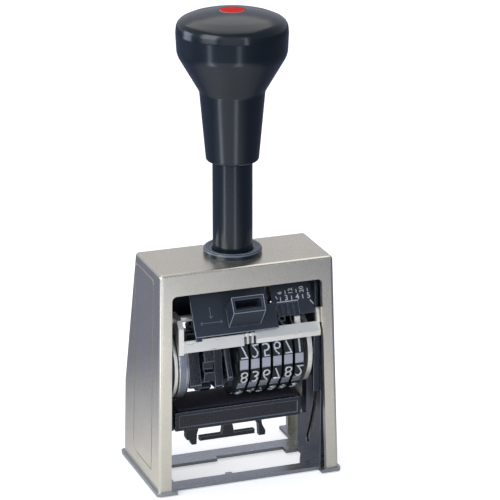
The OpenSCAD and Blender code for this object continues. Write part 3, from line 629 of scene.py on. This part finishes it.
def bar(long, wide, thick, place):
    """A chamfered stroke along X, laid at a frame."""
    start_clean()
    bpy.ops.mesh.primitive_cube_add(size=1)
    piece = bpy.context.object
    piece.scale = (long, wide, thick)
    settle(piece)
    bpy.ops.object.modifier_add(type="BEVEL")
    bevel = piece.modifiers[-1]
    bevel.width = min(wide, thick) * 0.3
    bevel.segments = 1
    bpy.ops.object.modifier_apply(modifier=bevel.name)
    piece.matrix_world = place
    settle(piece)
    return piece


def edge_bar(start, end):
    """A thin stroke between two points given as x, up the slope and out of it."""
    start, end = on_plate(*start), on_plate(*end)
    along = end - start
    turn = along.to_track_quat("X", "Z").to_matrix().to_4x4()
    line = sizes().edge_line
    return bar(along.length, line, line, Matrix.Translation((start + end) / 2) @ turn)


def figure(text, high, wide, thick, weight):
    """A figure as a solid, its middle at the origin, fitted to a height and width."""
    start_clean()
    bpy.ops.object.text_add()
    piece = bpy.context.object
    piece.data.body = text
    piece.data.resolution_u = 4
    piece.data.extrude = 0.05
    piece.data.offset = weight
    bpy.ops.object.convert(target="MESH")
    piece = bpy.context.object
    corners = [Vector(c) for c in piece.bound_box]
    low = Vector([min(c[i] for c in corners) for i in range(3)])
    top = Vector([max(c[i] for c in corners) for i in range(3)])
    size = top - low
    fit = Matrix.Diagonal((min(wide / size.x, high / size.y), high / size.y, thick / size.z, 1))
    piece.data.transform(fit @ Matrix.Translation(-(low + top) / 2))
    return piece


# ---- Pieces ----


class MACHINE_OT_housing(bpy.types.Operator):
    """Satin nickel housing with a painted highlight on its window edges"""

    bl_idname = "machine.housing"
    bl_label = "Housing"

    def execute(self, context):
        dress("housing_shell", "Housing", satin_nickel(), sizes().shell_edge, metal_edge_highlight())
        return {"FINISHED"}


class MACHINE_OT_base(bpy.types.Operator):
    """Base plate with its screws"""

    bl_idname = "machine.base"
    bl_label = "Base plate"

    def execute(self, context):
        # The base plate's bevelled edges get a painted highlight
        dress("base_plate", "Base_plate", base_steel(), 0.25 * MM, metal_edge_highlight())
        dress("base_screws", "Base_screws", plain_steel(), 0.08 * MM)
        return {"FINISHED"}


class MACHINE_OT_handle(bpy.types.Operator):
    """Polished handle turned in one piece, with its marker dot and screw"""

    bl_idname = "machine.handle"
    bl_label = "Handle"

    def execute(self, context):
        s = sizes()
        top = 161 * MM
        foot = 110 * MM
        crown = 14.3 * MM
        fall = 2.2 * MM
        seat = s.dot_radius + 0.05 * MM
        bore = 6.8 * MM
        rod = 3.02 * MM
        bore_top = 148.5 * MM
        seat_floor = 159.8 * MM
        dome = [
            (r, top - fall * (r / crown) ** 2)
            for r in (seat + 0.15 * MM + (crown - seat) * i / 8 for i in range(8))
        ]
        outside = [
            (crown, top - fall),
            (s.head_radius - 0.4 * MM, 157.1 * MM),
            (s.head_radius, 153.5 * MM),
            (s.head_radius - 0.35 * MM, 146.2 * MM),
            (s.neck_radius, 133.7 * MM),
            (s.sleeve_radius, foot),
            (bore, foot),
        ]
        rounding = [0, 3.4 * MM, 3 * MM, 7 * MM, 3 * MM, 0.9 * MM, 0]
        side = [tuple(p) for p in rounded(outside, rounding)]
        inside = [(bore, bore_top), (rod, bore_top), (rod, seat_floor), (seat, seat_floor)]
        rim = [(seat, top - 0.35 * MM)]
        piece = closed_turned("Handle", [*dome, *side, *inside, *rim])
        break_edges(piece, 0)
        piece.data.materials.append(black_moulding())
        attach(piece, "plunger")
        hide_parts("handle")
        face = 160.85 * MM
        # The dot's profile stops short of the axis, where a ring would have no size
        ends = 0.02 * MM
        dot = turned(
            "Marker_dot",
            [
                (ends, seat_floor), (s.dot_radius, seat_floor), (s.dot_radius, face - 0.2 * MM),
                (s.dot_radius - 0.12 * MM, face - 0.05 * MM), (s.dot_radius - 0.3 * MM, face),
                (s.dot_radius * 0.5, face + 0.08 * MM), (ends, face + 0.1 * MM),
            ],
            64,
        )
        pick(dot)
        bpy.ops.object.mode_set(mode="EDIT")
        bpy.ops.mesh.select_all(action="DESELECT")
        bpy.ops.mesh.select_non_manifold()
        bpy.ops.mesh.edge_face_add()
        bpy.ops.object.mode_set(mode="OBJECT")
        outward(dot)
        break_edges(dot, 0)
        dot.data.materials.append(marker_enamel())
        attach(dot, "plunger")
        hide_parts("marker_dot")
        dress("handle_screw", "Handle_screw", plain_steel(), 0.1 * MM)
        return {"FINISHED"}


class MACHINE_OT_barrel(bpy.types.Operator):
    """Guide barrel, collar, nuts, push rod and buffer"""

    bl_idname = "machine.barrel"
    bl_label = "Barrel and push rod"

    def execute(self, context):
        dress("guide_barrel", "Guide_barrel", black_moulding(), 0.25 * MM)
        # The collar's bevelled edges get a painted highlight
        dress("collar_ring", "Collar_ring", black_moulding(), 0.3 * MM, black_edge_highlight())
        dress("barrel_nut", "Barrel_nut", plain_steel())
        dress("buffer_ring", "Buffer_ring", black_rubber(), 0.2 * MM)
        dress("push_rod", "Push_rod", bright_steel())
        dress("spring_cap", "Spring_cap", plain_steel(), 0.1 * MM)
        dress("rod_nut", "Rod_nut", plain_steel())
        return {"FINISHED"}


class MACHINE_OT_spring(bpy.types.Operator):
    """Return spring wound round the push rod"""

    bl_idname = "machine.spring"
    bl_label = "Return spring"

    def execute(self, context):
        wire = sizes().spring_wire
        turns = sizes().spring_turns
        seat, cap = 79.8 * MM, 147.9 * MM
        coil = 4.5 * MM
        rise = (cap - seat - 2 * wire) / turns
        start_clean()
        bpy.ops.mesh.primitive_circle_add(
            vertices=10, radius=wire, location=(coil, 0, seat + wire), rotation=(math.pi / 2, 0, 0)
        )
        piece = bpy.context.object
        piece.name = "Return_spring"
        settle(piece)
        bpy.ops.object.modifier_add(type="SCREW")
        screw = piece.modifiers[-1]
        screw.axis = "Z"
        screw.angle = 2 * math.pi
        screw.screw_offset = rise
        screw.iterations = turns
        screw.steps = 28
        screw.render_steps = 28
        bpy.ops.object.modifier_apply(modifier=screw.name)
        bpy.ops.object.mode_set(mode="EDIT")
        bpy.ops.mesh.select_all(action="SELECT")
        bpy.ops.mesh.remove_doubles(threshold=SHAPE_MERGE * MM)
        bpy.ops.mesh.select_all(action="DESELECT")
        bpy.ops.mesh.select_non_manifold()
        bpy.ops.mesh.edge_face_add()
        bpy.ops.object.mode_set(mode="OBJECT")
        outward(piece)
        break_edges(piece, 0)
        piece.data.materials.append(plain_steel())
        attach(piece, "housing")
        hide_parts("return_spring")
        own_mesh(piece)
        return {"FINISHED"}


class MACHINE_OT_carriage(bpy.types.Operator):
    """Carriage: bridge, cheeks, shoes, axle, selector rod and spring comb"""

    bl_idname = "machine.carriage"
    bl_label = "Carriage"

    def execute(self, context):
        # Bridge, cheeks and shoes get a painted highlight on their bevelled edges
        bridge = dress("carriage_bridge", "Carriage_bridge", blued_steel(), None, blued_edge_highlight())
        # The flange bent down at the back reaches behind the feed forks
        shift(bridge, (-25.5, 8, 54), (-14, 9, 55), -2.9)
        dress("bridge_screws", "Bridge_screws", plain_steel(), 0.1 * MM)
        dress("cheek_left", "Left_cheek", blued_steel(), None, blued_edge_highlight())
        dress("cheek_right", "Right_cheek", blued_steel(), None, blued_edge_highlight())
        dress("guide_shoes", "Guide_shoes", blued_steel(), None, blued_edge_highlight())
        dress("wheel_axle", "Wheel_axle", bright_steel())
        dress("axle_clips", "Axle_clips", plain_steel(), 0.1 * MM)
        dress("selector_rod", "Selector_rod", bright_steel())
        dress("detent_comb", "Wheel_spring_comb", plain_steel(), 0.06 * MM)
        crossbar = dress("front_crossbar", "Front_crossbar", bright_steel(), 0.2 * MM)
        # The two lugs end just under the selector plate when it is pressed
        shift(crossbar, (-0.1, -14.5, 53.2), (2.5, -12.9, 53.6), -0.08)
        return {"FINISHED"}


class MACHINE_OT_rails(bpy.types.Operator):
    """Slotted guide rails that swing the pad"""

    bl_idname = "machine.rails"
    bl_label = "Guide rails"

    def execute(self, context):
        # The rails get a painted highlight on their bevelled edges
        dress("guide_rail_left", "Left_guide_rail", rail_steel(), None, blued_edge_highlight())
        dress("guide_rail_right", "Right_guide_rail", rail_steel(), None, blued_edge_highlight())
        return {"FINISHED"}


class MACHINE_OT_selector(bpy.types.Operator):
    """Sloping selector plate with its hollow tab, raised arrows and saddle"""

    bl_idname = "machine.selector"
    bl_label = "Selector"

    def execute(self, context):
        # Saddle, plate and scale plate get a painted highlight on their bevelled edges
        dress("selector_saddle", "Selector_saddle", black_plastic(), None, plastic_edge_highlight())
        dress("selector_plate", "Selector_plate", black_plastic(), 0.24 * MM, plastic_edge_highlight())
        wide = sizes().arrow_width
        out = 0.02
        strokes = [
            # Middle's x, middle's place up the slope, length and turn: the arrow that points down
            (-12, 7.85, 3.8, 90), (-12.33, 6.35, 1, 130), (-11.67, 6.35, 1, 50),
            # The arrow that points both ways
            (-12.1, 4.5, 7.6, 0), (-15.6, 4.8, 0.9, 42), (-15.6, 4.2, 0.9, -42),
            (-8.6, 4.8, 0.9, -42), (-8.6, 4.2, 0.9, 42),
        ]
        marks = [
            bar(long * MM, wide, 0.1 * MM, plate_frame(x, up, out, turn))
            for x, up, long, turn in strokes
        ]
        piece = join(marks, "Selector_arrows")
        piece.data.materials.append(arrow_paint())
        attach(piece, "selector")
        self.painted_highlight_lines()
        return {"FINISHED"}

    def painted_highlight_lines(self):
        """Painted highlight lines along the edges of the finger tab and the plate."""
        corner = (PLATE_LEFT, PLATE_LOW, 0)
        lines = [
            edge_bar((TAB_LEFT, up, TAB_HEIGHT), (TAB_RIGHT, up, TAB_HEIGHT)) for up in (TAB_NEAR, TAB_FAR)
        ]
        for x in (TAB_LEFT, TAB_RIGHT):
            lines.append(edge_bar((x, TAB_NEAR, TAB_HEIGHT), (x, TAB_FAR, TAB_HEIGHT)))
            lines.append(edge_bar((x, TAB_NEAR, TAB_HEIGHT), (x, TAB_FOOT, 0)))
        lines.append(edge_bar(corner, (PLATE_RIGHT, PLATE_LOW, 0)))
        lines.append(edge_bar(corner, (PLATE_LEFT, PLATE_HIGH, 0)))
        # These strokes are painted highlights on the edges
        piece = join(lines, "Selector_painted_highlight_lines")
        piece.data.materials.append(plastic_edge_highlight())
        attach(piece, "selector")


class MACHINE_OT_scale(bpy.types.Operator):
    """Number scale with raised figures, ticks and comb"""

    bl_idname = "machine.scale"
    bl_label = "Number scale"

    def execute(self, context):
        dress("scale_plate", "Scale_plate", black_plastic(), 0.14 * MM, plastic_edge_highlight())
        high = sizes().scale_figure
        wide = sizes().mark_width
        thick = 0.16 * MM
        out = SCALE_DEPTH + 0.05
        marks = []
        # Figure, its middle's x and place up the slope, and its turn
        for text, x, up, turn in (
            ("3", 16.14, 10.05, 0), ("4", 20.1, 10.0, 0), ("5", 24.15, 9.95, 0),
            ("6", 13.96, 11.9, 90), ("12", 17.93, 12.3, 90), ("20", 21.92, 12.3, 90),
        ):
            # Figures that lie on their side are smaller, and those of two digits are wider
            tall = high * (0.82 if turn else 1)
            broad = high * (1.2 if len(text) > 1 else 0.75)
            glyph = figure(text, tall, broad, thick, 0.01)
            glyph.data.transform(plate_frame(x, up, out, turn))
            marks.append(glyph)
        # Tick's or line's middle x and place up the slope, its length and its turn
        for x, up, long, turn in (
            (14.05, 9.75, 1.5, 90), (18.05, 9.8, 1.5, 90), (22.05, 9.8, 1.5, 90),
            (16.05, 11.95, 1.2, 90), (20.05, 11.95, 1.2, 90), (24.1, 11.9, 1.2, 90),
            (12.65, 10.4, 1.2, 115), (16.3, 8.78, 7.6, 0), (25.0, 7.5, 2.2, -55),
        ):
            marks.append(bar(long * MM, wide, thick, plate_frame(x, up, out, turn)))
        piece = join(marks, "Scale_marks")
        piece.data.materials.append(mark_paint())
        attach(piece, "plunger")
        return {"FINISHED"}


class MACHINE_OT_wheels(bpy.types.Operator):
    """Number wheels with dark fields and raised mirrored figures"""

    bl_idname = "machine.wheels"
    bl_label = "Number wheels"

    def execute(self, context):
        s = sizes()
        axle = Vector((0, 0, AXLE_HEIGHT * MM))
        for number, front in enumerate(FRONT_FIGURES, 1):
            node = f"number_wheel_{number}"
            middle = (WHEEL_LEFT + WHEEL_PITCH * (number - 1) + WHEEL_WIDTH / 2) * MM
            wheel = dress(node, f"Number_wheel_{number}", wheel_metal(), 0.07 * MM)
            wheel.data.materials.append(wheel_field())
            self.darken_fields(wheel, axle)
            glyphs = []
            for field in range(10):
                angle = math.radians(FIELD_STEP * field)
                out = Vector((0, math.sin(angle), -math.cos(angle)))
                up = Vector((0, math.cos(angle), math.sin(angle)))
                steps = field - round(FRONT_ROW / FIELD_STEP)
                glyph = figure(
                    str((front + steps) % 10), s.figure_height, s.figure_width, s.figure_relief, -0.012
                )
                place = axle + Vector((middle, 0, 0)) + out * (TYPE_RADIUS * MM - s.figure_relief / 2)
                # A left-handed frame, which mirrors the figure as type is mirrored
                turn = Matrix((Vector((1, 0, 0)), up, out)).transposed().to_4x4()
                glyph.data.transform(Matrix.Translation(place) @ turn)
                glyphs.append(glyph)
            piece = join(glyphs, f"Figures_of_wheel_{number}")
            outward(piece)
            piece.data.materials.append(figure_silver())
            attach(piece, f"wheel_{number}")
        return {"FINISHED"}

    def darken_fields(self, wheel, axle):
        """Gives the fields and the wheel's sides their own finish."""
        for face in wheel.data.polygons:
            reach = face.center - axle
            angle = math.degrees(math.atan2(reach.y, -reach.z))
            in_field = abs(angle - FIELD_STEP * round(angle / FIELD_STEP)) < FIELD_HALF
            on_rim = math.hypot(reach.y, reach.z) > LAND_RADIUS * MM and abs(face.normal.x) < 0.3
            if in_field or not on_rim:
                face.material_index = 1


class MACHINE_OT_cams(bpy.types.Operator):
    """Repeat cams, finger plate and drive disc on their hub"""

    bl_idname = "machine.cams"
    bl_label = "Repeat cams"

    def execute(self, context):
        dress("cam_hub", "Cam_hub", plain_steel())
        # The drive disc's bevelled edges get a painted highlight
        dress("drive_disc", "Drive_disc", plain_steel(), 0.25 * MM, metal_edge_highlight())
        # Cams and finger plate get a painted highlight on their bevelled edges
        dress("repeat_cam_a", "Repeat_cam_A", cam_black(), 0.3 * MM, black_edge_highlight())
        dress("finger_plate", "Finger_plate", cam_black(), 0.2 * MM, black_edge_highlight())
        dress("repeat_cam_c", "Repeat_cam_C", cam_black(), 0.3 * MM, black_edge_highlight())
        dress("repeat_cam_d", "Repeat_cam_D", cam_black(), 0.3 * MM, black_edge_highlight())
        return {"FINISHED"}


class MACHINE_OT_feed(bpy.types.Operator):
    """Feed fork with its pawls"""

    bl_idname = "machine.feed"
    bl_label = "Feed"

    def execute(self, context):
        dress("feed_fork", "Feed_fork", plain_steel())
        dress("pawl_rod", "Pawl_rod", bright_steel(), 0.1 * MM)
        dress("feed_pawls", "Feed_pawls", plain_steel(), 0.1 * MM)
        return {"FINISHED"}


class MACHINE_OT_ink_pad(bpy.types.Operator):
    """Swinging ink pad: arms, tray, cartridge with its felt, pull grip and latches"""

    bl_idname = "machine.ink_pad"
    bl_label = "Ink pad"

    def execute(self, context):
        # Under this height the arms are blackened, all but their flat sides
        dark = 31 * MM
        for side in ("left", "right"):
            arm = dress(f"pad_arm_{side}", f"Pad_arm_{side}", bright_steel())
            arm.data.materials.append(blued_steel())
            for face in arm.data.polygons:
                if face.center.z < dark and abs(face.normal.x) < 0.8:
                    face.material_index = 1
        dress("follower_pins", "Follower_pins", bright_steel(), 0.12 * MM)
        # The tray gets a painted highlight on its bevelled edges
        dress("pad_tray", "Pad_tray", blued_steel(), None, blued_edge_highlight())
        # Cartridge, grip and latches get a painted highlight on their bevelled edges
        dress("ink_cartridge", "Ink_cartridge", cam_black(), 0.2 * MM, black_edge_highlight())
        dress("pull_grip", "Pull_grip", cam_black(), 0.25 * MM, black_edge_highlight())
        dress("pad_latches", "Pad_latches", cam_black(), 0.2 * MM, black_edge_highlight())
        self.felt()
        return {"FINISHED"}

    def felt(self):
        """Felt slab, crowned towards its middle and pressed in at its edges."""
        low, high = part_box("ink_felt")
        low, high = Vector(low), Vector(high)
        start_clean()
        bpy.ops.mesh.primitive_cube_add(size=1, location=(low + high) / 2)
        piece = bpy.context.object
        piece.name = "Ink_felt"
        piece.scale = high - low
        settle(piece)
        bpy.ops.object.mode_set(mode="EDIT")
        bpy.ops.mesh.select_all(action="SELECT")
        bpy.ops.mesh.subdivide(number_cuts=23)
        bpy.ops.object.mode_set(mode="OBJECT")
        middle, half = (low + high) / 2, (high - low) / 2
        # Share of the half width at which the crown starts to fall, and its fall at the edge
        start, fall = 0.6, 0.22
        for vertex in piece.data.vertices:
            across = max(abs(vertex.co.x - middle.x) / half.x, abs(vertex.co.y - middle.y) / half.y)
            crown = 1 - fall * (max(across - start, 0) / (1 - start)) ** 2
            if vertex.co.z > middle.z:
                vertex.co.z = low.z + (vertex.co.z - low.z) * crown
        break_edges(piece, 0)
        piece.data.materials.append(inked_felt())
        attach(piece, "pad")
        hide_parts("ink_felt")


class MACHINE_OT_stage(bpy.types.Operator):
    """Pale floor, soft lights and the camera at the photograph's viewpoint"""

    bl_idname = "machine.stage"
    bl_label = "Stage"

    def execute(self, context):
        self.floor()
        self.sky(context.scene)
        # Name, place, width, height, power in watts and colour
        self.light("Left softbox", (-0.72, -0.3, 0.42), 0.5, 0.65, 4.2, "#F4F6FF")
        self.light("Top softbox", (0.05, 0.3, 0.9), 0.9, 1.2, 3.4, "#FFFAF2")
        self.light("Rim softbox", (-0.75, 0.45, 0.2), 0.35, 0.45, 2, "#DDE8FF")
        self.light("Front fill", (-0.35, -0.95, 0.3), 0.9, 0.9, 1.7, "#F1F4FF")
        self.light("Front strip", (0.12, -0.8, 0.26), 0.05, 0.5, 0.45, "#F1F4FF")
        self.table_strip("Left table strip", -66, 0.22)
        self.table_strip("Right table strip", -5, 0.15)
        self.camera(context.scene)
        return {"FINISHED"}

    def floor(self):
        """A wide plain floor, a little under the machine's feet."""
        start_clean()
        bpy.ops.mesh.primitive_plane_add(size=10, location=(0, 0, -0.4 * MM))
        piece = bpy.context.object
        piece.name = "Floor"
        settle(piece)
        piece.data.materials.append(pale_floor())

    def sky(self, scene):
        """Studio light that is bright behind the machine, dim before it and white to the camera."""
        world = bpy.data.worlds.new("Studio")
        scene.world = world
        world.use_nodes = True
        nodes = world.node_tree.nodes
        links = world.node_tree.links
        place = nodes.new("ShaderNodeTexCoord")
        parts = nodes.new("ShaderNodeSeparateXYZ")
        ramp = nodes.new("ShaderNodeMapRange")
        ramp.inputs["From Min"].default_value = -1
        ramp.inputs["From Max"].default_value = 1
        mix = nodes.new("ShaderNodeMix")
        mix.data_type = "RGBA"
        mix.inputs["A"].default_value = (0.2, 0.25, 0.33, 1)
        mix.inputs["B"].default_value = (0.5, 0.51, 0.59, 1)
        path = nodes.new("ShaderNodeLightPath")
        shown = nodes.new("ShaderNodeMix")
        shown.data_type = "RGBA"
        shown.inputs["B"].default_value = (1, 1, 1, 1)
        links.new(path.outputs["Is Camera Ray"], shown.inputs["Factor"])
        links.new(mix.outputs["Result"], shown.inputs["A"])
        links.new(place.outputs["Generated"], parts.inputs["Vector"])
        links.new(parts.outputs["Y"], ramp.inputs["Value"])
        links.new(ramp.outputs["Result"], mix.inputs["Factor"])
        links.new(shown.outputs["Result"], nodes["Background"].inputs["Color"])

    def light(self, name, place, wide, tall, power, code):
        """A rectangular lamp, turned towards the middle of the machine."""
        start_clean()
        bpy.ops.object.light_add(type="AREA", location=place)
        lamp = bpy.context.object
        lamp.name = name
        lamp.data.shape = "RECTANGLE"
        lamp.data.size = wide
        lamp.data.size_y = tall
        lamp.data.energy = power
        lamp.data.color = srgb(code)
        aim = Vector((0, 0, LAMP_AIM * MM)) - Vector(place)
        lamp.rotation_euler = aim.to_track_quat("-Z", "Y").to_euler()
        return lamp

    def table_strip(self, name, azimuth, power):
        """A strip lamp lying face up on the table, for a streak down the handle."""
        turn = math.radians(azimuth)
        place = (STRIP_DISTANCE * math.sin(turn), -STRIP_DISTANCE * math.cos(turn), 3 * MM)
        lamp = self.light(name, place, STRIP_WIDTH, STRIP_LENGTH, power, "#E4ECFF")
        lamp.rotation_euler = (math.pi, 0, turn)

    def camera(self, scene):
        """The camera, where the photograph was taken from."""
        turn, rise = math.radians(VIEW_AZIMUTH), math.radians(VIEW_ELEVATION)
        back = Vector(
            (math.sin(turn) * math.cos(rise), -math.cos(turn) * math.cos(rise), math.sin(rise))
        )
        start_clean()
        bpy.ops.object.camera_add(location=(Vector(VIEW_AIM) + back * VIEW_DISTANCE) * MM)
        eye = bpy.context.object
        eye.name = "Camera"
        eye.rotation_euler = (-back).to_track_quat("-Z", "Y").to_euler()
        eye.data.lens = VIEW_LENS
        eye.data.sensor_width = 36
        eye.data.clip_start = 0.01
        eye.data.dof.use_dof = False
        scene.camera = eye
        scene.view_settings.view_transform = "Standard"


OPERATORS = (
    MACHINE_OT_housing, MACHINE_OT_base, MACHINE_OT_handle, MACHINE_OT_barrel, MACHINE_OT_spring,
    MACHINE_OT_carriage, MACHINE_OT_rails, MACHINE_OT_selector, MACHINE_OT_scale, MACHINE_OT_wheels,
    MACHINE_OT_cams, MACHINE_OT_feed, MACHINE_OT_ink_pad, MACHINE_OT_stage,
)


class MACHINE_PT_panel(bpy.types.Panel):
    """Sizes, colours and pieces of the numbering machine"""

    bl_idname = "MACHINE_PT_panel"
    bl_label = "Numbering Machine"
    bl_space_type = "VIEW_3D"
    bl_region_type = "UI"
    bl_category = "Numbering Machine"

    def draw(self, context):
        """Every size and colour, then a button for each group of pieces."""
        layout = self.layout
        for group in (context.scene.machine_sizes, context.scene.machine_colours):
            box = layout.box()
            for name in group.__annotations__:
                box.prop(group, name)
        for operator in OPERATORS:
            layout.operator(operator.bl_idname)


CLASSES = (MachineSizes, MachineColours, *OPERATORS, MACHINE_PT_panel)


def register():
    """Adds the panel, its operators and its properties."""
    for item in CLASSES:
        bpy.utils.register_class(item)
    bpy.types.Scene.machine_sizes = PointerProperty(type=MachineSizes)
    bpy.types.Scene.machine_colours = PointerProperty(type=MachineColours)


def unregister():
    """Takes away what register added."""
    del bpy.types.Scene.machine_colours
    del bpy.types.Scene.machine_sizes
    for item in reversed(CLASSES):
        bpy.utils.unregister_class(item)


def main():
    """Builds every piece over the construction model."""
    register()
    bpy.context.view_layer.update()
    for operator in OPERATORS:
        group, name = operator.bl_idname.split(".")
        getattr(getattr(bpy.ops, group), name)()
    start_clean()


if __name__ == "__main__":
    main()
